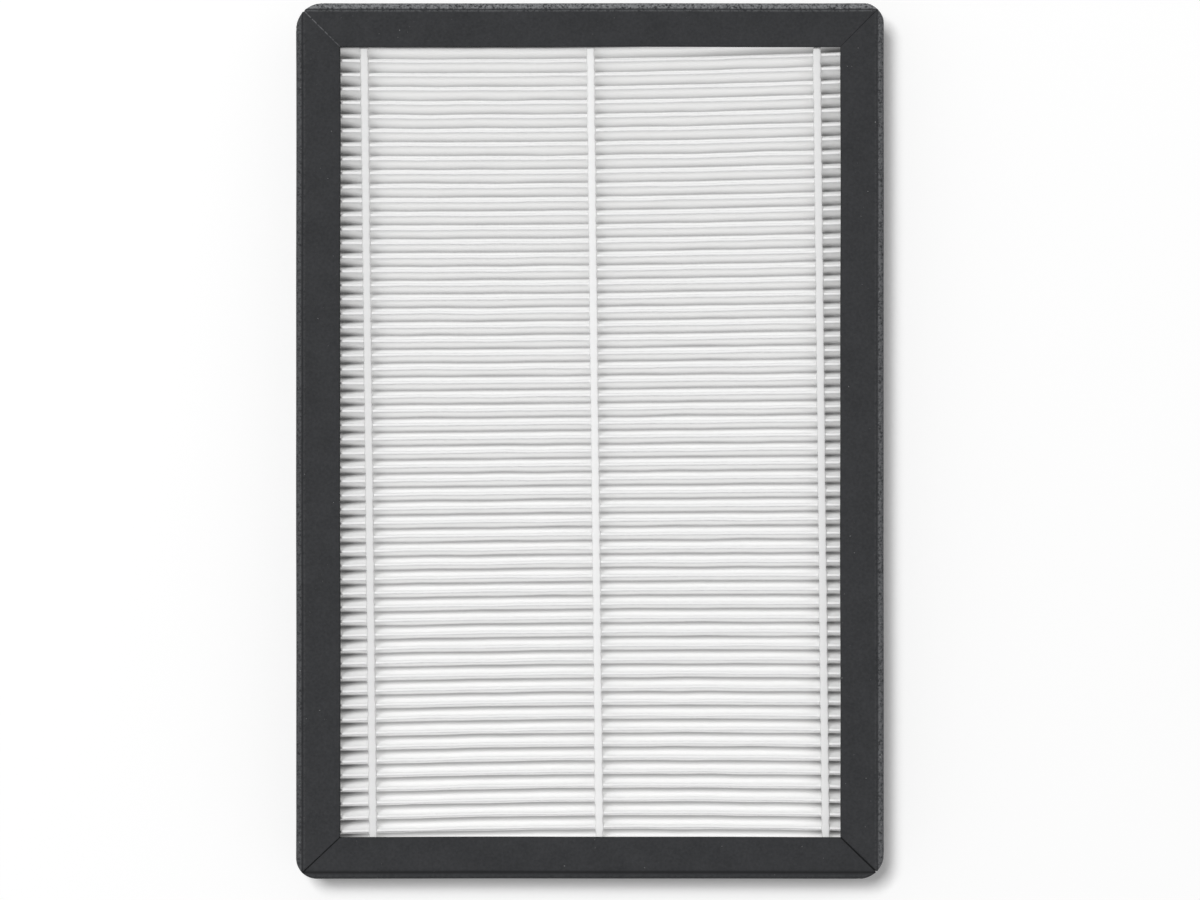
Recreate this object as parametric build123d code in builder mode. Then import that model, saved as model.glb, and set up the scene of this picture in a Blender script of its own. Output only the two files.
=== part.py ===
"""Pleated air filter panel that lies on its back face, with its long side along Y.

Four rails folded from dark sheet hold a white pleated pack. Beads of glue keep the pleats
apart on both faces, and a bed of sealant inside each rail closes the edge of the pack.
The origin is the middle of the back face, and all sizes are in millimetres.
"""

import os
from math import asin, atan2, cos, degrees, hypot, radians, sin, sqrt, tan

from build123d import *

# Outside of the panel
panel_width = 143.0
panel_length = 213.0
panel_depth = 19.0
corner_radius = 5.0

# Rails, each folded from one strip of sheet
sheet = 2.0
flange_width = 10.6
bend_radius = 1.2
edge_radius = 0.3
crease_inset = 1.6
crease_width = 0.7
crease_depth = 0.35
seam_width = 0.4
seam_depth = 0.3

# Pleated pack
media_thickness = 0.4
pleat_spacing = 3.38
pack_clearance = 0.1

# Sealant between the pack and the walls of the rails
side_sealant = 1.5
top_sealant = 1.4
bottom_sealant = 3.8

# Glue beads across the pleats
bead_width = 2.0
bead_crest = 0.4
bead_reach = 4.5
bead_rounding = 0.3
bead_inset = 5.8
bead_shift = 1.2
bead_lean = 0.65

# Places of the window, the channel inside the rails and the pack
window_width = panel_width - 2 * flange_width
window_length = panel_length - 2 * flange_width
channel_width = panel_width - 2 * sheet
channel_length = panel_length - 2 * sheet
channel_depth = panel_depth - 2 * sheet
channel_radius = max(corner_radius - sheet, edge_radius)
middle = panel_depth / 2
pack_width = channel_width - 2 * side_sealant
pack_length = channel_length - top_sealant - bottom_sealant
pack_centre = (bottom_sealant - top_sealant) / 2
pack_start = pack_centre - pack_length / 2
pack_end = pack_centre + pack_length / 2

# Fold lines of the pack along Y, and how far above and below the middle they lie
fold_span = pack_length - 2 * media_thickness
pleat_count = round(fold_span / pleat_spacing)
pitch = fold_span / pleat_count
tip_level = channel_depth / 2 - bead_crest - pack_clearance
fold_level = tip_level - media_thickness
front_folds = [pack_start + media_thickness + pitch * index for index in range(pleat_count + 1)]
rear_folds = [fold + pitch / 2 for fold in front_folds[:-1]]

# Lean of a flank, which meets the fold line at one end and is the sheet's thickness from the other
fold_distance = hypot(pitch / 2, 2 * fold_level)
flank_lean = atan2(pitch / 2, 2 * fold_level) - asin(media_thickness / fold_distance)
lean_angle = degrees(flank_lean)
turn_side = media_thickness * cos(flank_lean)
turn_level = fold_level + media_thickness * sin(flank_lean)
pack_plane = Plane(origin=(0, 0, middle), x_dir=(0, 1, 0), z_dir=(1, 0, 0))

os.makedirs("parts", exist_ok=True)

# Creases scored beside the bends, as a V-shaped ring on the front face and one on the back
with BuildPart() as creases:
    crease_x = panel_width / 2 - crease_inset
    crease_y = panel_length / 2 - crease_inset
    with BuildLine(Plane.XY.offset(panel_depth)) as crease_path:
        Polyline(
            (crease_x, 0),
            (crease_x, crease_y),
            (-crease_x, crease_y),
            (-crease_x, -crease_y),
            (crease_x, -crease_y),
            close=True,
        )
    with BuildSketch(Plane.XZ):
        with BuildLine():
            Polyline(
                (crease_x - crease_width / 2, panel_depth),
                (crease_x, panel_depth - crease_depth),
                (crease_x + crease_width / 2, panel_depth),
                close=True,
            )
        make_face()
    sweep(path=crease_path.wire(), transition=Transition.RIGHT)
    mirror(about=Plane.XY.offset(middle))

# Frame as it stands when the rails are closed round the pack
with BuildPart() as frame:
    with BuildSketch():
        RectangleRounded(panel_width, panel_length, corner_radius)
    extrude(amount=panel_depth)
    fillet(frame.faces().filter_by(Axis.Z).edges(), bend_radius)
    with BuildSketch(Plane.XY.offset(sheet)):
        RectangleRounded(channel_width, channel_length, channel_radius)
    extrude(amount=channel_depth, mode=Mode.SUBTRACT)
    with BuildSketch():
        Rectangle(window_width, window_length)
    extrude(amount=panel_depth, mode=Mode.SUBTRACT)
    cut_edges = frame.edges(Select.LAST).group_by(Axis.Z)
    fillet(cut_edges[0] + cut_edges[-1], edge_radius)
    add(creases.part, mode=Mode.SUBTRACT)
    # The cut ends of the sheet are rolled over at each mitre, which leaves a small V there
    for corner_x in (-1, 1):
        for corner_y in (-1, 1):
            mitre = Plane(
                origin=(corner_x * panel_width / 2, corner_y * panel_length / 2, 0),
                x_dir=(corner_y, -corner_x, 0),
                z_dir=(-corner_x, -corner_y, 0),
            )
            for face_level, seam_bottom in ((0, seam_depth), (panel_depth, panel_depth - seam_depth)):
                with BuildSketch(mitre):
                    with BuildLine():
                        Polyline(
                            (-seam_width / 2, face_level),
                            (0, seam_bottom),
                            (seam_width / 2, face_level),
                            close=True,
                        )
                    make_face()
                extrude(amount=sqrt(2) * (flange_width + sheet), mode=Mode.SUBTRACT)

# Each rail is one side of the frame, cut at 45 degrees at both ends
inner_reach = flange_width + sheet
rail_sides = {
    "top": (0, panel_width, panel_length),
    "left": (90, panel_length, panel_width),
    "bottom": (180, panel_width, panel_length),
    "right": (270, panel_length, panel_width),
}
for side, (turn, span, across) in rail_sides.items():
    with BuildPart() as rail:
        add(frame.part)
        with BuildSketch(Plane.XY.rotated((0, 0, turn))):
            with BuildLine():
                Polyline(
                    (-span / 2 - sheet, across / 2 + sheet),
                    (span / 2 + sheet, across / 2 + sheet),
                    (span / 2 - inner_reach, across / 2 - inner_reach),
                    (-span / 2 + inner_reach, across / 2 - inner_reach),
                    close=True,
                )
            make_face()
        extrude(amount=panel_depth, mode=Mode.INTERSECT)
    rail.part.label = f"rail_{side}"
    export_step(rail.part, f"parts/rail_{side}.step")

# Beds of sealant, which fill the channel from its walls to the edges of the pack
bed_zones = {
    "left": (-panel_width / 2, 0, panel_width - pack_width, panel_length),
    "right": (panel_width / 2, 0, panel_width - pack_width, panel_length),
    "top": (0, panel_length / 2, pack_width, panel_length),
    "bottom": (0, -panel_length / 2, pack_width, panel_length),
}
for side, (zone_x, zone_y, zone_width, zone_length) in bed_zones.items():
    with BuildPart() as bed:
        with BuildSketch(Plane.XY.offset(sheet)):
            RectangleRounded(channel_width, channel_length, channel_radius)
            with Locations((0, pack_centre)):
                Rectangle(pack_width, pack_length, mode=Mode.SUBTRACT)
            with Locations((zone_x, zone_y)):
                Rectangle(zone_width, zone_length, mode=Mode.INTERSECT)
        extrude(amount=channel_depth)
    bed.part.label = f"sealant_{side}"
    export_step(bed.part, f"parts/sealant_{side}.step")

# Pleated pack, one sheet folded to and fro, with an upright tail at each end
with BuildPart() as pleat_pack:
    with BuildSketch(pack_plane):
        with BuildLine():
            for index, fold in enumerate(front_folds):
                arc_start = 0 if index == pleat_count else lean_angle
                arc_end = 180 if index == 0 else 180 - lean_angle
                CenterArc((fold, fold_level), media_thickness, arc_start, arc_end - arc_start)
            for fold in rear_folds:
                CenterArc((fold, -fold_level), media_thickness, 180 + lean_angle, 180 - 2 * lean_angle)
                before = fold - pitch / 2
                after = fold + pitch / 2
                Line((before + turn_side, turn_level), (fold, -fold_level))
                Line((fold, -fold_level), (after - turn_side, turn_level))
                Line((before, fold_level), (fold - turn_side, -turn_level))
                Line((fold + turn_side, -turn_level), (after, fold_level))
            for tail_fold, tail_side in ((front_folds[0], pack_start), (front_folds[-1], pack_end)):
                Polyline(
                    (tail_side, fold_level),
                    (tail_side, -tip_level),
                    (tail_fold, -tip_level),
                    (tail_fold, fold_level),
                )
        make_face()
    extrude(amount=pack_width / 2, both=True)
pleat_pack.part.label = "pleat_pack"
export_step(pleat_pack.part, "parts/pleat_pack.step")

# Glue beads, whose teeth fill the tops of the gaps between the pleats below a thin crest
bead_spread = bead_width + pack_length * tan(radians(bead_lean)) / 2
gap_at_tips = (tip_level + fold_level) * tan(flank_lean)
gap_at_reach = (tip_level - bead_reach + fold_level) * tan(flank_lean)
bead_rows = {"left": -1, "centre": 0, "right": 1}
for face, folds, up in (("front", front_folds, 1), ("rear", rear_folds, -1)):
    outline = [(pack_start, up * tip_level)]
    for fold in folds[:-1]:
        gap = fold + pitch / 2
        outline += [
            (gap - gap_at_tips, up * tip_level),
            (gap - gap_at_reach, up * (tip_level - bead_reach)),
            (gap + gap_at_reach, up * (tip_level - bead_reach)),
            (gap + gap_at_tips, up * tip_level),
        ]
    outline += [
        (pack_end, up * tip_level),
        (pack_end, up * (tip_level + bead_crest)),
        (pack_start, up * (tip_level + bead_crest)),
    ]
    for row, step in bead_rows.items():
        bead_x = bead_shift + step * (window_width / 2 - bead_inset)
        with BuildPart() as bead:
            with BuildSketch(pack_plane.offset(bead_x)):
                with BuildLine():
                    Polyline(*outline, close=True)
                make_face()
            extrude(amount=bead_spread, both=True)
            with BuildSketch():
                with Locations((bead_x, pack_centre)):
                    Rectangle(bead_width, 2 * panel_length, rotation=bead_lean)
            extrude(amount=panel_depth, mode=Mode.INTERSECT)
            crest_edges = bead.edges().group_by(Axis.Z)[-1 if up > 0 else 0]
            fillet(crest_edges.sort_by(SortBy.LENGTH)[-2:], bead_rounding)
        bead.part.label = f"glue_bead_{face}_{row}"
        export_step(bead.part, f"parts/glue_bead_{face}_{row}.step")
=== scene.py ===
from math import asin, atan2, cos, hypot, pi, radians, sin, tan

import bmesh
import bpy
from mathutils import Matrix, Vector


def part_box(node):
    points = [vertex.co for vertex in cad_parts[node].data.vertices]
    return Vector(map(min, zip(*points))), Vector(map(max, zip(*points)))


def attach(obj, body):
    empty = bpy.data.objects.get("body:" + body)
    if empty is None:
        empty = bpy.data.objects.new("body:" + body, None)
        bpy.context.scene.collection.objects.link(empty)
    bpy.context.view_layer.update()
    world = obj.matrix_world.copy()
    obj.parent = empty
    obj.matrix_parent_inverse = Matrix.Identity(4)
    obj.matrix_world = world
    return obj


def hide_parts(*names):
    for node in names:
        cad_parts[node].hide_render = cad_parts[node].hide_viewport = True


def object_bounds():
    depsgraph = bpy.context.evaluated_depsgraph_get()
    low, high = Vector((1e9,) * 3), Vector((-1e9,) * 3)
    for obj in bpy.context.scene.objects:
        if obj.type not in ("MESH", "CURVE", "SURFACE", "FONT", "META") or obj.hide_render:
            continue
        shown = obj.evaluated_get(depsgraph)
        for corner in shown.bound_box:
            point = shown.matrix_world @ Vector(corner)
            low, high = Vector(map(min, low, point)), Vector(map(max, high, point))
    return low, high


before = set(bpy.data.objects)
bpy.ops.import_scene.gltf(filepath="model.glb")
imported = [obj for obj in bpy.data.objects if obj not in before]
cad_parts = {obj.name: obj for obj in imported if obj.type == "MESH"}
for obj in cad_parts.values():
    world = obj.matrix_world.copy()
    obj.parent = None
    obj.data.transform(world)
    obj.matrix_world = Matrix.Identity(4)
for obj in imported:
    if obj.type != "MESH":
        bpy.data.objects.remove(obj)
cad_low, cad_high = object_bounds()

# Pleated pack. The real piece is one sheet of white filter media, scored and folded to and
# fro into close pleats 14 mm deep, which stand on edge between the two faces of the panel.
# It is made by a node tree that folds a flat grid and lets each fold wander a little.
MM = 0.001
PLEAT_COUNT = 60
MEDIA_THICKNESS = 0.3 * MM
FOLD_RADIUS = 0.16 * MM
END_MARGIN = 0.4 * MM

# Faces across the pack and up each flank, where the first and last few rows go round a fold
PACK_COLUMNS = 46
FLANK_ROWS = 8
TURN_ROWS = 3

# The beads of glue hold the folds here: the middle bead's place, and how far off the others are
BEAD_SHIFT = 1.2 * MM
BEAD_STEP = 55.1 * MM
FREE_AT_BEAD = 0.15
FREE_RISE = 5.0

# How far a fold wanders, how quickly, and how far apart the patterns of two folds are
WANDER = 0.35 * MM
WANDER_SCALE = 60.0
WANDER_STEP = 3.7

# How the whole pack has settled between the rails
PACK_TURN = radians(0.58)
PACK_SHIFT = -0.22 * MM
SPREAD = 0.0025
SPREAD_SLOPE = 0.0019
SPREAD_AT_BEADS = 0.0070
SEEN_REACH = 96 * MM
END_PRESS = 0.13

pack_low, pack_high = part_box("pleat_pack")
PACK_LENGTH = pack_high.y - pack_low.y
PACK_CENTRE = (pack_high.y + pack_low.y) / 2
PACK_MIDDLE = (pack_high.z + pack_low.z) / 2
PITCH = (PACK_LENGTH - 2 * END_MARGIN) / PLEAT_COUNT
FIRST_FOLD = pack_low.y + END_MARGIN
TIP_LEVEL = (pack_high.z - pack_low.z) / 2
FOLD_LEVEL = TIP_LEVEL - MEDIA_THICKNESS / 2 - FOLD_RADIUS
FLANK_LEAN = atan2(PITCH / 2, 2 * FOLD_LEVEL) - asin(
    2 * FOLD_RADIUS / hypot(PITCH / 2, 2 * FOLD_LEVEL)
)


class Value:
    """One number in a node tree, so that a shape's formula is written as a formula."""

    def __init__(self, tree, source):
        self.tree = tree
        self.source = source

    def made(self, operation, *others):
        node = self.tree.nodes.new("ShaderNodeMath")
        node.operation = operation
        for place, item in enumerate((self, *others)):
            if isinstance(item, Value):
                self.tree.links.new(item.source, node.inputs[place])
            else:
                node.inputs[place].default_value = item
        return Value(self.tree, node.outputs[0])

    def __add__(self, other):
        return self.made("ADD", other)

    def __mul__(self, other):
        return self.made("MULTIPLY", other)

    def __sub__(self, other):
        return self.made("SUBTRACT", other)

    def __truediv__(self, other):
        return self.made("DIVIDE", other)

    def __rsub__(self, other):
        return self.made("MULTIPLY", -1.0).made("ADD", other)

    def __neg__(self):
        return self.made("MULTIPLY", -1.0)

    __radd__ = __add__
    __rmul__ = __mul__

    def clamped(self):
        return self.made("MAXIMUM", 0.0).made("MINIMUM", 1.0)

    def smoothed(self):
        level = self.clamped()
        return level * level * (3.0 - 2.0 * level)


class PieceTree:
    """A geometry node tree with named inputs, whose last nodes realise it and give it a finish."""

    def __init__(self, name, inputs):
        self.tree = bpy.data.node_groups.new(name, "GeometryNodeTree")
        self.tree.interface.new_socket("Geometry", in_out="OUTPUT", socket_type="NodeSocketGeometry")
        self.identifiers = {}
        for label, kind in inputs.items():
            item = self.tree.interface.new_socket(label, in_out="INPUT", socket_type=kind)
            self.identifiers[label] = item.identifier
        self.entry = self.tree.nodes.new("NodeGroupInput")

    def input(self, label):
        return Value(self.tree, self.entry.outputs[label])

    def node(self, kind, links=None, **settings):
        node = self.tree.nodes.new(kind)
        for name, setting in settings.items():
            setattr(node, name, setting)
        for name, item in (links or {}).items():
            if isinstance(item, Value):
                self.tree.links.new(item.source, node.inputs[name])
            elif isinstance(item, bpy.types.NodeSocket):
                self.tree.links.new(item, node.inputs[name])
            else:
                node.inputs[name].default_value = item
        return node

    def place(self):
        """The x, y and z of each point before it is moved."""
        position = self.node("GeometryNodeInputPosition").outputs[0]
        split = self.node("ShaderNodeSeparateXYZ", {"Vector": position})
        return [Value(self.tree, output) for output in split.outputs]

    def wander(self, along, across, scale):
        """Smooth noise from -1 to 1 that runs along one value and differs across the other."""
        where = self.node("ShaderNodeCombineXYZ", {"X": along, "Y": across, "Z": 0.0})
        noise = self.node(
            "ShaderNodeTexNoise", {"Vector": where.outputs[0], "Scale": scale, "Detail": 1.0}
        )
        return (Value(self.tree, noise.outputs["Fac"]) - 0.5) * 2.0

    def finish(self, mesh, x, y, z):
        """Moves the points to x, y and z and closes the tree."""
        place = self.node("ShaderNodeCombineXYZ", {"X": x, "Y": y, "Z": z}).outputs[0]
        moved = self.node("GeometryNodeSetPosition", {"Geometry": mesh, "Position": place})
        shaded = self.node(
            "GeometryNodeSetShadeSmooth", {"Geometry": moved.outputs[0], "Shade Smooth": True}
        )
        solid = self.node("GeometryNodeRealizeInstances", {"Geometry": shaded.outputs[0]})
        finished = self.node(
            "GeometryNodeSetMaterial",
            {"Geometry": solid.outputs[0], "Material": self.entry.outputs["Material"]},
        )
        out = self.tree.nodes.new("NodeGroupOutput")
        self.tree.links.new(finished.outputs[0], out.inputs[0])

    def build(self, name, sizes, thickness=None):
        """Runs the tree on an empty piece and returns the plain mesh object that it makes.

        A thickness turns a single sheet into a wall.
        """
        empty = bpy.data.meshes.new(name + "_start")
        maker = bpy.data.objects.new(name + "_maker", empty)
        bpy.context.scene.collection.objects.link(maker)
        modifier = maker.modifiers.new("shape", "NODES")
        modifier.node_group = self.tree
        for label, size in sizes.items():
            modifier[self.identifiers[label]] = size
        if thickness:
            wall = maker.modifiers.new("wall", "SOLIDIFY")
            wall.thickness = thickness
            wall.offset = 0.0
            wall.use_even_offset = True
        graph = bpy.context.evaluated_depsgraph_get()
        mesh = bpy.data.meshes.new_from_object(maker.evaluated_get(graph))
        bpy.data.objects.remove(maker)
        mesh.materials.clear()
        mesh.materials.append(sizes["Material"])
        mesh.polygons.foreach_set("material_index", [0] * len(mesh.polygons))
        turn_faces_out(mesh)
        if thickness:
            mark_sides(mesh)
        piece = bpy.data.objects.new(name, mesh)
        bpy.context.scene.collection.objects.link(piece)
        return piece


def turn_faces_out(mesh):
    """Makes every face of a closed mesh point outwards."""
    shell = bmesh.new()
    shell.from_mesh(mesh)
    bmesh.ops.recalc_face_normals(shell, faces=shell.faces)
    if shell.calc_volume(signed=True) < 0:
        bmesh.ops.reverse_faces(shell, faces=shell.faces)
    shell.to_mesh(mesh)
    shell.free()


def mark_sides(mesh):
    """Stores 1 on the faces of the wall's front and -1 on those of its back and rim.

    The wall is made by copying the sheet, so its first faces are one side and the next the other.
    """
    sheet_faces = PACK_COLUMNS * PLEAT_COUNT * 2 * FLANK_ROWS
    rise = sum(face.normal.z * face.area for face in mesh.polygons[:sheet_faces])
    first = 1.0 if rise > 0 else -1.0
    side = mesh.attributes.new("side", "FLOAT", "FACE")
    signs = [first if face.index < sheet_faces else -first for face in mesh.polygons]
    side.data.foreach_set("value", signs)


def settled(y, x):
    """Where the folds lie along the panel: spread a little from the middle of the pack, most at
    the outer beads, turned with the whole pack, and pressed together at its two hidden ends.
    """
    step = x / BEAD_STEP
    spread = step * SPREAD_SLOPE + step * step * SPREAD_AT_BEADS + SPREAD
    away = y - PACK_CENTRE
    seen = away.made("MINIMUM", SEEN_REACH).made("MAXIMUM", -SEEN_REACH)
    return y + seen * spread + x * tan(PACK_TURN) + PACK_SHIFT - (away - seen) * END_PRESS


class Shading:
    """Short ways to make and link the nodes of one material's tree."""

    def __init__(self, name):
        self.material = bpy.data.materials.new(name)
        self.material.use_nodes = True
        self.tree = self.material.node_tree
        self.shader = self.tree.nodes["Principled BSDF"]

    def node(self, kind, links=None, **settings):
        node = self.tree.nodes.new(kind)
        for name, setting in settings.items():
            setattr(node, name, setting)
        for name, item in (links or {}).items():
            self.feed(node.inputs[name], item)
        return node

    def feed(self, socket, item):
        """Links a socket to another, or sets its value."""
        if isinstance(item, Value):
            self.tree.links.new(item.source, socket)
        elif isinstance(item, bpy.types.NodeSocket):
            self.tree.links.new(item, socket)
        else:
            socket.default_value = item

    def place(self):
        """The x, y and z of a point on the piece."""
        self.coordinates = self.node("ShaderNodeTexCoord").outputs["Object"]
        split = self.node("ShaderNodeSeparateXYZ", {"Vector": self.coordinates})
        return [Value(self.tree, output) for output in split.outputs]

    def noise(self, scale, detail):
        """Noise from 0 to 1 at the places on the piece."""
        noise = self.node(
            "ShaderNodeTexNoise", {"Vector": self.coordinates, "Scale": scale, "Detail": detail}
        )
        return Value(self.tree, noise.outputs["Fac"])

    def mix(self, share, first, second):
        """One colour that goes over into another."""
        node = self.node("ShaderNodeMix", {0: share}, data_type="RGBA")
        self.feed(node.inputs[6], first)
        self.feed(node.inputs[7], second)
        return node.outputs[2]

    def bump(self, height, strength, distance):
        """Makes the surface look raised where the height is greater."""
        bump = self.node(
            "ShaderNodeBump", {"Height": height, "Strength": strength, "Distance": distance}
        )
        self.feed(self.shader.inputs["Normal"], bump.outputs[0])

    def set(self, **inputs):
        """Feeds the shader's own sockets."""
        for name, item in inputs.items():
            self.feed(self.shader.inputs[name.replace("_", " ")], item)


# Painted light: white fibres pass light from flank to flank far more often than a renderer follows
# it, so the flanks get a painted glow in its place, less near the folds below them, and less beside
# the walls, which is painted shade there.
# Depth is 0 at a flank's own face of the panel and 1 at the other.
FLANK_GLOW = 0.115
GLOW_AT_FOLDS = 0.07
GLOW_FADE_START = 0.25
SIDE_FADE_START = 52.5 * MM
SIDE_FADE = 7 * MM
SIDE_FADE_DEPTH = 0.8
SIDE_FADE_SHARE = 0.78
FIBRE_SCALE = 2500.0
FIBRE_SHARE = 0.2
BLOTCH_SCALE = 90.0
BLOTCH_SHARE = 0.4
MEDIA_GREY = (0.93, 0.93, 0.93, 1.0)
MEDIA_WHITE = (0.97, 0.97, 0.965, 1.0)

media = Shading("media")
x, y, z = media.place()
normal = media.node("ShaderNodeNewGeometry").outputs["True Normal"]
facing = media.node("ShaderNodeSeparateXYZ", {"Vector": normal}).outputs["Z"]
upright = 1.0 - Value(media.tree, facing).made("ABSOLUTE")
side = Value(media.tree, media.node("ShaderNodeAttribute", attribute_name="side").outputs["Fac"])
depth = 0.5 - side * (z - PACK_MIDDLE) / (2 * TIP_LEVEL)
fade = ((depth - GLOW_FADE_START) / (1.0 - GLOW_FADE_START)).smoothed()
glow = FLANK_GLOW - fade * (FLANK_GLOW - GLOW_AT_FOLDS)
# Painted shade: the glow is taken down beside the walls, where the frame shades the gaps
side_fade = ((x.made("ABSOLUTE") - SIDE_FADE_START) / SIDE_FADE).smoothed()
side_fade = side_fade * (depth / SIDE_FADE_DEPTH).smoothed() * SIDE_FADE_SHARE
glow = glow * (1.0 - side_fade) * upright
fibres = media.noise(FIBRE_SCALE, 2.0)
blotches = media.noise(BLOTCH_SCALE, 2.0)
tone = (fibres - 0.5) * FIBRE_SHARE + (blotches - 0.5) * BLOTCH_SHARE + 0.5
media.set(
    Base_Color=media.mix(tone, MEDIA_GREY, MEDIA_WHITE),
    Roughness=0.9,
    Specular_IOR_Level=0.0,
    Emission_Color=(1.0, 1.0, 1.0, 1.0),
    Emission_Strength=glow,
)
# The glow is too faint to be sampled as a lamp
media.material.cycles.emission_sampling = "NONE"

pack_tree = PieceTree(
    "pleats",
    {
        "Pleats": "NodeSocketInt",
        "Pitch": "NodeSocketFloat",
        "First Fold": "NodeSocketFloat",
        "Width": "NodeSocketFloat",
        "Fold Level": "NodeSocketFloat",
        "Fold Radius": "NodeSocketFloat",
        "Flank Lean": "NodeSocketFloat",
        "Wander": "NodeSocketFloat",
        "Seed": "NodeSocketFloat",
        "Material": "NodeSocketMaterial",
    },
)
pitch = pack_tree.input("Pitch")
radius = pack_tree.input("Fold Radius")
level = pack_tree.input("Fold Level")
lean = pack_tree.input("Flank Lean")
rows = pack_tree.input("Pleats") * (2.0 * FLANK_ROWS)
flat = pack_tree.node(
    "GeometryNodeMeshGrid",
    {
        "Size X": 1.0,
        "Size Y": rows,
        "Vertices X": PACK_COLUMNS + 1,
        "Vertices Y": rows + 1.0,
    },
)
across, along, _ = pack_tree.place()
row = (along + rows * 0.5 + 0.5).made("FLOOR")
flank = ((row + 0.5) / FLANK_ROWS).made("FLOOR")
part_way = (row - flank * FLANK_ROWS) / FLANK_ROWS
nearer = part_way.made("MINIMUM", 1.0 - part_way)
past_middle = part_way.made("GREATER_THAN", 0.5)
turn_share = TURN_ROWS / FLANK_ROWS
turn = (nearer / turn_share).clamped() * (pi / 2 - lean)
run = ((nearer - turn_share) / (0.5 - turn_share)).clamped()
step_near = radius * turn.made("SINE") + run * (pitch * 0.25 - radius * lean.made("COSINE"))
height_near = level + radius * turn.made("COSINE") - run * (level + radius * lean.made("SINE"))
step = step_near + past_middle * (pitch * 0.5 - step_near * 2.0)
height = height_near * (1.0 - past_middle * 2.0)
odd = (flank * 0.5).made("FRACT").made("GREATER_THAN", 0.25)
x = across * pack_tree.input("Width")
seed = pack_tree.input("Seed")
wander_here = pack_tree.wander(x, flank * WANDER_STEP + seed, WANDER_SCALE)
wander_next = pack_tree.wander(x, (flank + 1.0) * WANDER_STEP + seed, WANDER_SCALE)
blend = ((part_way - turn_share) / (1.0 - 2 * turn_share)).clamped()
wander = wander_here + (wander_next - wander_here) * blend
bead_place = (x - BEAD_SHIFT) / BEAD_STEP
bead_distance = (bead_place - (bead_place + 0.5).made("FLOOR")).made("ABSOLUTE")
free = (bead_distance * FREE_RISE).smoothed() * (1.0 - FREE_AT_BEAD) + FREE_AT_BEAD
y = pack_tree.input("First Fold") + flank * pitch * 0.5 + step
y = settled(y, x) + wander * free * pack_tree.input("Wander")
z = height * (1.0 - odd * 2.0) + PACK_MIDDLE
pack_tree.finish(flat.outputs["Mesh"], x, y, z)

pleats = pack_tree.build(
    "pleated_sheet",
    {
        "Pleats": PLEAT_COUNT,
        "Pitch": PITCH,
        "First Fold": FIRST_FOLD,
        "Width": pack_high.x - pack_low.x,
        "Fold Level": FOLD_LEVEL,
        "Fold Radius": FOLD_RADIUS,
        "Flank Lean": FLANK_LEAN,
        "Wander": WANDER,
        "Seed": 4.0,
        "Material": media.material,
    },
    thickness=MEDIA_THICKNESS,
)
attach(pleats, "root")
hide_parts("pleat_pack")

# Glue beads. Each real one is a thread of white hot-melt glue laid across the pleats, three on
# each face. It rides over the tips, runs down into the gaps and holds the pleats apart.
BEAD_ROWS = 12
BEAD_SIDES = 14
BEAD_LEAN = radians(0.65)
BEAD_WIDTH = 1.95 * MM
BEAD_CROWN = 0.35 * MM
BEAD_REACH = 4.5 * MM
BEAD_SINK = 0.15 * MM

# How much a thread spreads on each tip, swells and drifts by chance, and sags over each gap
BEAD_SPREAD = 0.09
BEAD_SWELL = 0.12
SWELL_SCALE = 0.9
BEAD_DRIFT = 0.12 * MM
DRIFT_SCALE = 0.35
DRIFT_SEED = 9.0
CROWN_SAG = 0.06
CROWN_POWER = 0.35

GLUE_CENTRE = (0.90, 0.90, 0.90, 1.0)
GLUE_OUTER = (0.80, 0.80, 0.80, 1.0)
GLUE_RIPPLE_SCALE = 400.0

glue = Shading("glue")
x, y, z = glue.place()
outer = ((x - BEAD_SHIFT).made("ABSOLUTE") / BEAD_STEP).clamped()
glue.set(
    Base_Color=glue.mix(outer, GLUE_CENTRE, GLUE_OUTER),
    Roughness=0.55,
    Specular_IOR_Level=0.25,
)
glue.bump(glue.noise(GLUE_RIPPLE_SCALE, 2.0), 0.3, 0.1 * MM)

bead_tree = PieceTree(
    "bead",
    {
        "Pleats": "NodeSocketInt",
        "Pitch": "NodeSocketFloat",
        "Start": "NodeSocketFloat",
        "Across": "NodeSocketFloat",
        "Face": "NodeSocketFloat",
        "Width": "NodeSocketFloat",
        "Crown": "NodeSocketFloat",
        "Reach": "NodeSocketFloat",
        "Lean": "NodeSocketFloat",
        "Seed": "NodeSocketFloat",
        "Material": "NodeSocketMaterial",
    },
)
rows = bead_tree.input("Pleats") * float(BEAD_ROWS)
ends = [
    bead_tree.node("ShaderNodeCombineXYZ", {"Y": rows * half}).outputs[0] for half in (-0.5, 0.5)
]
line = bead_tree.node("GeometryNodeCurvePrimitiveLine", {"Start": ends[0], "End": ends[1]})
points = bead_tree.node("GeometryNodeResampleCurve", {"Curve": line.outputs[0], "Count": rows + 1.0})
ring = bead_tree.node("GeometryNodeCurvePrimitiveCircle", {"Resolution": BEAD_SIDES, "Radius": 1.0})
tube = bead_tree.node(
    "GeometryNodeCurveToMesh",
    {"Curve": points.outputs[0], "Profile Curve": ring.outputs[0], "Fill Caps": True},
)
side, along, rise = bead_tree.place()
row = (along + rows * 0.5 + 0.5).made("FLOOR")
pleat = row / BEAD_ROWS
wave = (pleat * (2 * pi)).made("COSINE")
pitch = bead_tree.input("Pitch")
gap_distance = (pleat.made("FRACT") - 0.5).made("ABSOLUTE") * pitch
gap_at_tips = (TIP_LEVEL + FOLD_LEVEL) * tan(FLANK_LEAN)
tooth = ((gap_at_tips - gap_distance) / tan(FLANK_LEAN)).made("MAXIMUM", 0.0)
depth = tooth.made("MINIMUM", bead_tree.input("Reach")) + BEAD_SINK
seed = bead_tree.input("Seed")
swell = bead_tree.wander(pleat, seed, SWELL_SCALE)
spread = 1.0 + wave * BEAD_SPREAD + swell * BEAD_SWELL
half_width = bead_tree.input("Width") * 0.5 * spread
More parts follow.
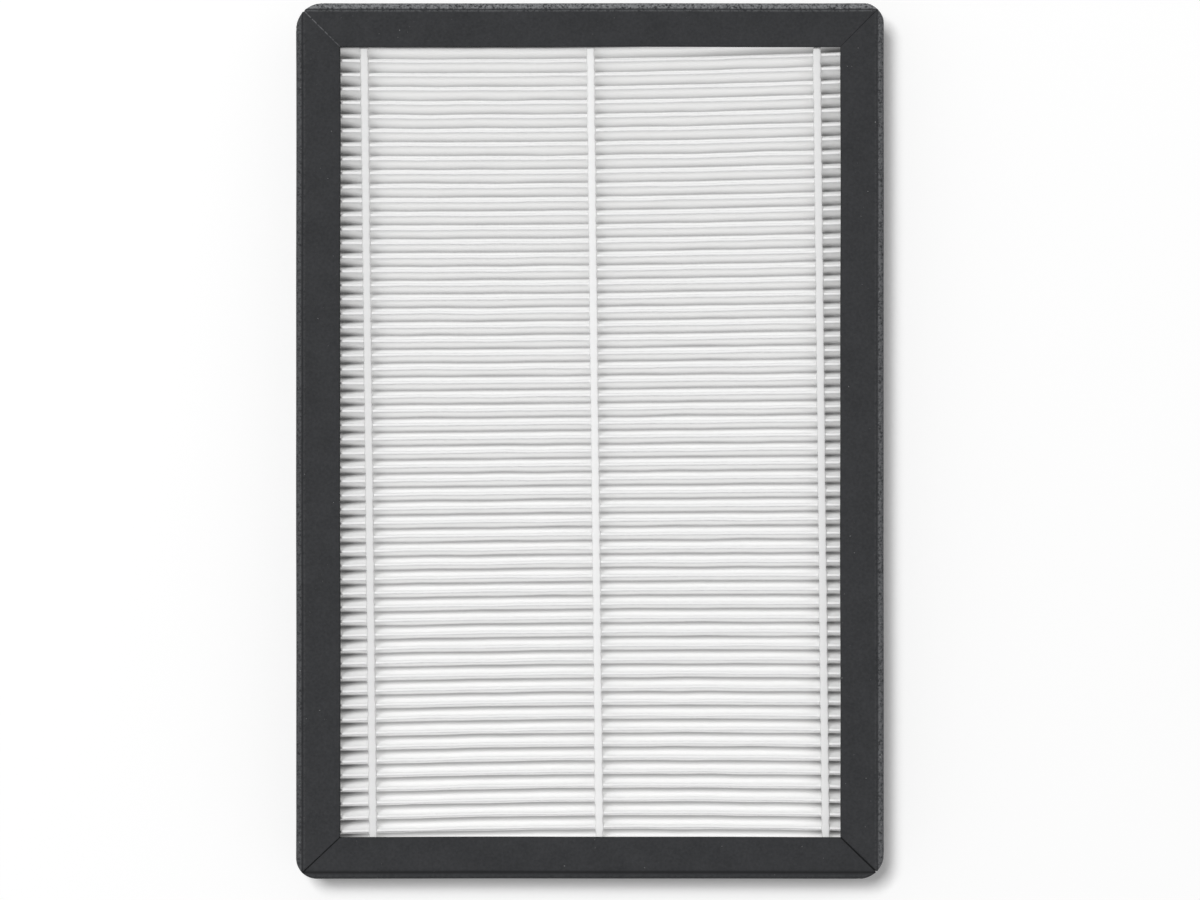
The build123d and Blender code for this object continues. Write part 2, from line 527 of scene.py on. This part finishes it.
above = rise.made("MAXIMUM", 0.0)
below = rise.made("MINIMUM", 0.0)
crown = bead_tree.input("Crown") * (1.0 - CROWN_SAG + wave * CROWN_SAG)
height = TIP_LEVEL + crown * above.made("POWER", CROWN_POWER) + depth * below
y = bead_tree.input("Start") + pleat * pitch
slide = (PACK_CENTRE - y) * bead_tree.input("Lean").made("TANGENT")
drift = bead_tree.wander(pleat, seed + DRIFT_SEED, DRIFT_SCALE) * BEAD_DRIFT
x = bead_tree.input("Across") + slide + drift + side * half_width
y = settled(y, bead_tree.input("Across") + slide)
z = height * bead_tree.input("Face") + PACK_MIDDLE
bead_tree.finish(tube.outputs[0], x, y, z)

for face, face_sign, first, count in (
    ("front", 1.0, FIRST_FOLD, PLEAT_COUNT),
    ("rear", -1.0, FIRST_FOLD + PITCH / 2, PLEAT_COUNT - 1),
):
    for place, (row_name, bead_step) in enumerate((("left", -1), ("centre", 0), ("right", 1))):
        bead = bead_tree.build(
            f"bead_{face}_{row_name}",
            {
                "Pleats": count,
                "Pitch": PITCH,
                "Start": first,
                "Across": BEAD_SHIFT + bead_step * BEAD_STEP,
                "Face": face_sign,
                "Width": BEAD_WIDTH,
                "Crown": BEAD_CROWN,
                "Reach": BEAD_REACH,
                "Lean": BEAD_LEAN,
                "Seed": 3.0 * place + 11.0 * face_sign,
                "Material": glue.material,
            },
        )
        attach(bead, "root")
        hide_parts(f"glue_bead_{face}_{row_name}")

# Rails. Each real one is a channel folded from a strip of soft dark sheet with a fine grain,
# scored beside its bends and cut at 45 degrees where it meets the next. They are closed by
# hand, so each corner is rounded a little differently and the cut edges run a little uneven.
PANEL_WIDTH = cad_high.x - cad_low.x
PANEL_LENGTH = cad_high.y - cad_low.y
PANEL_DEPTH = cad_high.z
SHEET = 2.0 * MM
BEND_RADIUS = 1.2 * MM
EDGE_RADIUS = 0.3 * MM
CREASE_INSET = 1.6 * MM
CREASE_DEPTH = 0.22 * MM
LIP_WIDTH = 0.45 * MM

# Near a corner the crease follows the rounding, stays this far inside it, and comes back to its
# straight line before the flange's own face
CORNER_REACH = 14 * MM
BAND_AT_CORNER = 0.08 * MM
BAND_RETURN = 3.2 * MM

# How far the cut edge and the outline swing in and out, over a long wave and a short one
UNEVEN_EDGE = 0.10 * MM
UNEVEN_OUTLINE = 0.05 * MM
LONG_WAVE = 23 * MM
SHORT_WAVE = 9.5 * MM
SHORT_SHARE = 0.6
SHORT_PHASE = 2.3
FIRST_PHASE = 1.0
PHASE_STEP = 1.7

# Where a rail has its rows of points: along it near a corner, elsewhere, and round its section
CORNER_STEPS = (0, 0.015, 0.03, 0.05, 0.075, 0.10, 0.13, 0.17, 0.21, 0.26, 0.34, 0.5, 0.75, 1)
STATION_STEP = 4 * MM
BEND_STEPS = 6
EDGE_STEPS = 4
FACE_STEPS = 6
WALL_STEPS = 6
SETTLING_ROUNDS = 12
SHARP_ANGLE = radians(40)


def quarter(centre_in, centre_up, size, start, steps):
    """Points of a quarter turn about a centre, as distance inwards and height."""
    turns = [start - pi / 2 * step / steps for step in range(steps + 1)]
    return [(centre_in + size * cos(turn), centre_up + size * sin(turn)) for turn in turns]


def half_profile(flange, crease_width):
    """Upper half of a rail's section, from mid wall over the flange and back under it."""
    top = PANEL_DEPTH
    middle = PANEL_DEPTH / 2
    straight = top - BEND_RADIUS - middle
    bend = min(BEND_RADIUS, CREASE_INSET - crease_width / 2)
    crease_end = CREASE_INSET + crease_width / 2
    face_start = crease_end + LIP_WIDTH
    face_end = flange - EDGE_RADIUS
    inside = top - SHEET
    points = [(0.0, middle + straight * step / WALL_STEPS, "wall") for step in range(WALL_STEPS)]
    turned = quarter(BEND_RADIUS, top - BEND_RADIUS, BEND_RADIUS, pi, BEND_STEPS)
    points += [(inward * bend / BEND_RADIUS, height, "band") for inward, height in turned]
    points += [(CREASE_INSET, top - CREASE_DEPTH, "groove")]
    points += [(crease_end, top, "lip")]
    points += [
        (face_start + (face_end - face_start) * step / FACE_STEPS, top, "face")
        for step in range(FACE_STEPS)
    ]
    over = quarter(face_end, top - EDGE_RADIUS, EDGE_RADIUS, pi / 2, EDGE_STEPS)
    under = quarter(face_end, inside + EDGE_RADIUS, EDGE_RADIUS, 0, EDGE_STEPS)
    points += [(*point, "face") for point in over]
    points += [(*point, "under") for point in under]
    points += [((flange + SHEET) / 2, inside, "under"), (SHEET, inside, "under")]
    return points


def moved_in(inward, inset):
    """Where a line of the section runs when the outline is set in by the corner's rounding."""
    crease = max(CREASE_INSET, inset + BAND_AT_CORNER)
    if inward < CREASE_INSET:
        return inset + (crease - inset) * inward / CREASE_INSET
    if inward < BAND_RETURN:
        share = (inward - CREASE_INSET) / (BAND_RETURN - CREASE_INSET)
        return crease + (BAND_RETURN - crease) * share
    return inward


def corner_point(inward, step, corner_radius, roundness, slant):
    """How far a point lies from the corner along the rail, and how far in from the outline."""
    along, place = inward, inward
    for _ in range(SETTLING_ROUNDS):
        along = place * slant + (CORNER_REACH - place * slant) * step
        short = max(corner_radius - along, 0.0)
        share = max(1.0 - (short / corner_radius) ** roundness, 0.0)
        inset = corner_radius * (1.0 - share ** (1 / roundness))
        place = moved_in(inward, inset)
    return along, place


def rail_mesh(name, length, flange, crease_width, ends, wear_and_painted_light, phase):
    """A rail along X whose outline lies at y = 0 and whose window edge lies towards -Y."""
    upper = half_profile(flange, crease_width)
    lower = [(inward, PANEL_DEPTH - height, zone) for inward, height, zone in reversed(upper[1:])]
    profile = upper + lower
    straight = length - 2 * CORNER_REACH
    count = round(straight / STATION_STEP)
    stations = [(0, step) for step in CORNER_STEPS]
    stations += [(None, index / count) for index in range(1, count)]
    stations += [(1, step) for step in reversed(CORNER_STEPS)]
    points, worn_and_lit = [], []
    for end, step in stations:
        for inward, height, zone in profile:
            # Wear and painted light: a paler bend, partly rubbed and partly painted light, a painted
            # highlight on the lip and painted shade in the crease
            amount = wear_and_painted_light.get(zone, 0.0)
            if end is None:
                along, place = CORNER_REACH + straight * step, inward
            else:
                corner_radius, roundness, slant, seam_width, seam_depth, seam_painted_light_and_wear = ends[end]
                along, place = corner_point(inward, step, corner_radius, roundness, slant)
                gap = along - place * slant
                # Painted shade in the seam, or at the top left a painted highlight that is partly a
                # paler cut edge
                if gap < seam_width and zone != "under":
                    roll = (1 - gap / seam_width) ** 2
                    height += seam_depth * roll * (1 - height / (PANEL_DEPTH / 2))
                    amount += (seam_painted_light_and_wear - amount) * roll
                if end == 1:
                    along = length - along
            swing = sin(along / LONG_WAVE + phase)
            swing += SHORT_SHARE * sin(along / SHORT_WAVE + SHORT_PHASE * phase)
            ease = min(along, length - along, CORNER_REACH) / CORNER_REACH
            uneven = UNEVEN_OUTLINE + (UNEVEN_EDGE - UNEVEN_OUTLINE) * inward / flange
            place += uneven * ease * (1.0 + SHORT_SHARE + swing) / 2
            points.append((along - length / 2, -place, height))
            worn_and_lit.append(amount)
    rim = len(profile)
    faces = []
    for start in range(0, (len(stations) - 1) * rim, rim):
        for index in range(rim):
            here = start + index
            after = start + (index + 1) % rim
            faces.append((here, after, after + rim, here + rim))
    faces += [tuple(range(rim)), tuple(range(len(points) - rim, len(points)))]
    mesh = bpy.data.meshes.new(name)
    mesh.from_pydata(points, [], faces)
    # Each point's wear together with its painted light and shade, which the sheet's material reads
    attribute = mesh.attributes.new("wear_and_painted_light", "FLOAT", "POINT")
    attribute.data.foreach_set("value", worn_and_lit)
    turn_faces_out(mesh)
    mesh.shade_smooth()
    mesh.set_sharp_from_angle(angle=SHARP_ANGLE)
    return mesh


# The sheet is near black with a dull grain. Its bends are rubbed paler, and fluff sticks to it.
# The paling of the bends is partly painted light, greatest on the top rail that faces the lamp, the
# lip beside each crease gets a painted highlight, and the creases and seams get painted shade.
SHEET_DARK = (0.026, 0.027, 0.029, 1.0)
SHEET_PALE = (0.043, 0.044, 0.047, 1.0)
RUBBED_AND_LIT_PALE = (0.26, 0.265, 0.275, 1.0)
PAINTED_CREASE_SHADE = (0.012, 0.012, 0.013, 1.0)
FLUFF_GREY = (0.36, 0.36, 0.36, 1.0)
GRAIN_SCALE = 1400.0
PATCH_SCALE = 150.0
FLUFF_SCALE = 2300.0
GRAIN_SHARE = 0.6
TONE_CONTRAST = 2.2
RUB_AND_LIGHT_CONTRAST = 2.6
RUB_AND_LIGHT_START = 1.9
SPECK_START = 0.80
SPECK_EDGE = 0.05
SPECKS_AT_BENDS = 0.12

sheet = Shading("frame_sheet")
sheet.place()
wear_and_painted_light = Value(sheet.tree, sheet.node("ShaderNodeAttribute", attribute_name="wear_and_painted_light").outputs["Fac"])
grain = sheet.noise(GRAIN_SCALE, 3.0)
patches = sheet.noise(PATCH_SCALE, 3.0)
fluff = sheet.noise(FLUFF_SCALE, 1.0)
tone = grain * GRAIN_SHARE + patches * (1.0 - GRAIN_SHARE) - 0.5
base = sheet.mix(tone * TONE_CONTRAST + 0.5, SHEET_DARK, SHEET_PALE)
# Paler bends, partly rubbed and partly painted light from the lamp, and a painted highlight on the
# lips
rubbed_and_lit = wear_and_painted_light.clamped() * ((grain + fluff) * RUB_AND_LIGHT_CONTRAST - RUB_AND_LIGHT_START).clamped()
base = sheet.mix(rubbed_and_lit, base, RUBBED_AND_LIT_PALE)
# Painted shade in the creases and seams
base = sheet.mix((-wear_and_painted_light).clamped(), base, PAINTED_CREASE_SHADE)
specks = ((fluff + wear_and_painted_light.clamped() * SPECKS_AT_BENDS - SPECK_START) / SPECK_EDGE).smoothed()
sheet.set(
    Base_Color=sheet.mix(specks, base, FLUFF_GREY),
    Roughness=0.8,
    Specular_IOR_Level=0.15,
)
sheet.bump(grain, 0.45, 0.12 * MM)

# Each corner's radius, its roundness, where 2 is a circle and 1 a straight cut, and its seam's
# half width, depth and painted tone: less than 0 is painted shade in the seam, more than 0 a
# painted highlight that is partly a paler cut edge
corners = {
    "top left": (6.3 * MM, 1.9, 0.35 * MM, 0.02 * MM, 0.65),
    "top right": (4.3 * MM, 1.6, 0.28 * MM, 0.25 * MM, 0.0),
    "bottom left": (4.9 * MM, 1.9, 0.36 * MM, 0.50 * MM, -0.8),
    "bottom right": (5.6 * MM, 1.8, 0.42 * MM, 0.60 * MM, -0.9),
}
# Each rail's turn, length, distance of its outline from the middle, flange and crease width, the
# paling of its bend, partly rubbing and partly painted light that is greatest on the top rail facing
# the lamp, the painted highlight of the lip beside the crease, the painted shade of the crease,
# and its two neighbours
rails = {
    "top": (
        0, PANEL_WIDTH, PANEL_LENGTH / 2, 10.6 * MM, 0.45 * MM, (0.78, 0.30, 0.0), "left right"
    ),
    "right": (
        -pi / 2, PANEL_LENGTH, PANEL_WIDTH / 2, 10.5 * MM, 0.8 * MM, (0.40, 0.07, 0.0), "top bottom"
    ),
    "bottom": (
        pi, PANEL_WIDTH, PANEL_LENGTH / 2, 10.1 * MM, 1.2 * MM, (0.03, 0.0, -0.9), "right left"
    ),
    "left": (
        pi / 2, PANEL_LENGTH, PANEL_WIDTH / 2, 10.7 * MM, 0.65 * MM, (0.21, 0.09, -0.15), "bottom top"
    ),
}
for number, (side_name, rail_traits) in enumerate(rails.items()):
    turn, length, reach, flange, crease_width, wear_and_light_shares, neighbours = rail_traits
    ends = []
    for neighbour in neighbours.split():
        across_first = side_name in ("top", "bottom")
        corner = f"{side_name} {neighbour}" if across_first else f"{neighbour} {side_name}"
        radius, roundness, *seam = corners[corner]
        ends.append((radius, roundness, rails[neighbour][3] / flange, *seam))
    mesh = rail_mesh(
        f"side_{side_name}",
        length,
        flange,
        crease_width,
        ends,
        dict(zip(("band", "lip", "groove"), wear_and_light_shares)),
        FIRST_PHASE + PHASE_STEP * number,
    )
    mesh.transform(Matrix.Rotation(turn, 4, "Z") @ Matrix.Translation((0, reach, 0)))
    mesh.materials.append(sheet.material)
    rail = bpy.data.objects.new(f"side_{side_name}", mesh)
    bpy.context.scene.collection.objects.link(rail)
    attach(rail, "root")
    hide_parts(f"rail_{side_name}")

# Sealant. The real one is a bed of hot-melt glue inside each rail, which closes the edge of
# the pack. It is out of sight between the flanges.
BED_DULL = (0.70, 0.70, 0.67, 1.0)
BED_PALE = (0.84, 0.84, 0.82, 1.0)
CLOUD_SCALE = 120.0
sealant = Shading("sealant")
sealant.place()
cloud = sealant.noise(CLOUD_SCALE, 3.0)
sealant.set(Base_Color=sealant.mix(cloud, BED_DULL, BED_PALE), Roughness=0.45)
sealant.bump(cloud, 0.3, 0.3 * MM)
for side_name in rails:
    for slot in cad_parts[f"sealant_{side_name}"].material_slots:
        slot.material = sealant.material

# Floor. The panel lies on a white sheet, a hair below its back face so that the two don't mix.
# To the eye it is whiter than its colour, and quite white far off, but it keeps the shadow.
FLOOR_SIZE = 6.0
FLOOR_GAP = 0.05 * MM
FLOOR_WHITE = (0.92, 0.92, 0.92, 1.0)
NEAR_GLOW = 0.15
FAR_GLOW = 0.8
NEAR_REACH = 0.22
FAR_REACH = 1.2
SEEN_RAYS = ("Is Camera Ray", "Is Glossy Ray", "Is Transmission Ray")
bpy.ops.mesh.primitive_plane_add(size=FLOOR_SIZE, location=(0.0, 0.0, -FLOOR_GAP))
floor = bpy.context.object
floor.name = "floor"
ground = Shading("ground")
x, y, _ = ground.place()
path = ground.node("ShaderNodeLightPath")
seen = sum((Value(ground.tree, path.outputs[ray]) for ray in SEEN_RAYS), 0.0).clamped()
away = (x * x + y * y).made("SQRT")
far = ((away - NEAR_REACH) / (FAR_REACH - NEAR_REACH)).smoothed()
ground.set(
    Base_Color=FLOOR_WHITE,
    Roughness=1.0,
    Specular_IOR_Level=0.0,
    Emission_Color=(1.0, 1.0, 1.0, 1.0),
    Emission_Strength=seen * (far * (FAR_GLOW - NEAR_GLOW) + NEAR_GLOW),
)
floor.data.materials.append(ground.material)

# Light. A pale sky all round, which is seen as white, and one soft lamp from the top left that
# lights a surface facing it at the level given.
SKY_LEVEL = 0.24
world = bpy.data.worlds.new("sky")
bpy.context.scene.world = world
world.use_nodes = True
sky = world.node_tree.nodes["Background"]
sky.inputs["Color"].default_value = (1.0, 1.0, 1.0, 1.0)
path = world.node_tree.nodes.new("ShaderNodeLightPath")
seen = sum((Value(world.node_tree, path.outputs[ray]) for ray in SEEN_RAYS), 0.0).clamped()
level = seen * (1.0 - SKY_LEVEL) + SKY_LEVEL
world.node_tree.links.new(level.source, sky.inputs["Strength"])

LAMP_PLACE = Vector((-0.50, 0.54, 3.0))
LAMP_SIZE = 0.66
LAMP_LEVEL = 0.72
lamp_data = bpy.data.lights.new("lamp", "AREA")
lamp_data.shape = "SQUARE"
lamp_data.size = LAMP_SIZE
lamp_data.energy = LAMP_LEVEL * pi * pi * LAMP_PLACE.length_squared
lamp = bpy.data.objects.new("lamp", lamp_data)
lamp.location = LAMP_PLACE
lamp.rotation_euler = (-LAMP_PLACE).to_track_quat("-Z", "Y").to_euler()
bpy.context.scene.collection.objects.link(lamp)

# Camera. It looks straight down, from a height at which one pixel of the 1200 pixels wide
# photograph spans PIXEL on the panel's front face.
PHOTO_WIDTH = 1200
PIXEL = 0.243 * MM
SENSOR_WIDTH = 36.0
CAMERA_HEIGHT = 1.2
CAMERA_PLACE = (2.45 * MM, -2.2 * MM)
camera_data = bpy.data.cameras.new("camera")
camera_data.sensor_width = SENSOR_WIDTH
camera_data.lens = SENSOR_WIDTH * CAMERA_HEIGHT / (PHOTO_WIDTH * PIXEL)
camera = bpy.data.objects.new("camera", camera_data)
camera.location = (*CAMERA_PLACE, cad_high.z + CAMERA_HEIGHT)
bpy.context.scene.collection.objects.link(camera)
bpy.context.scene.camera = camera

bpy.context.scene.view_settings.view_transform = "Standard"
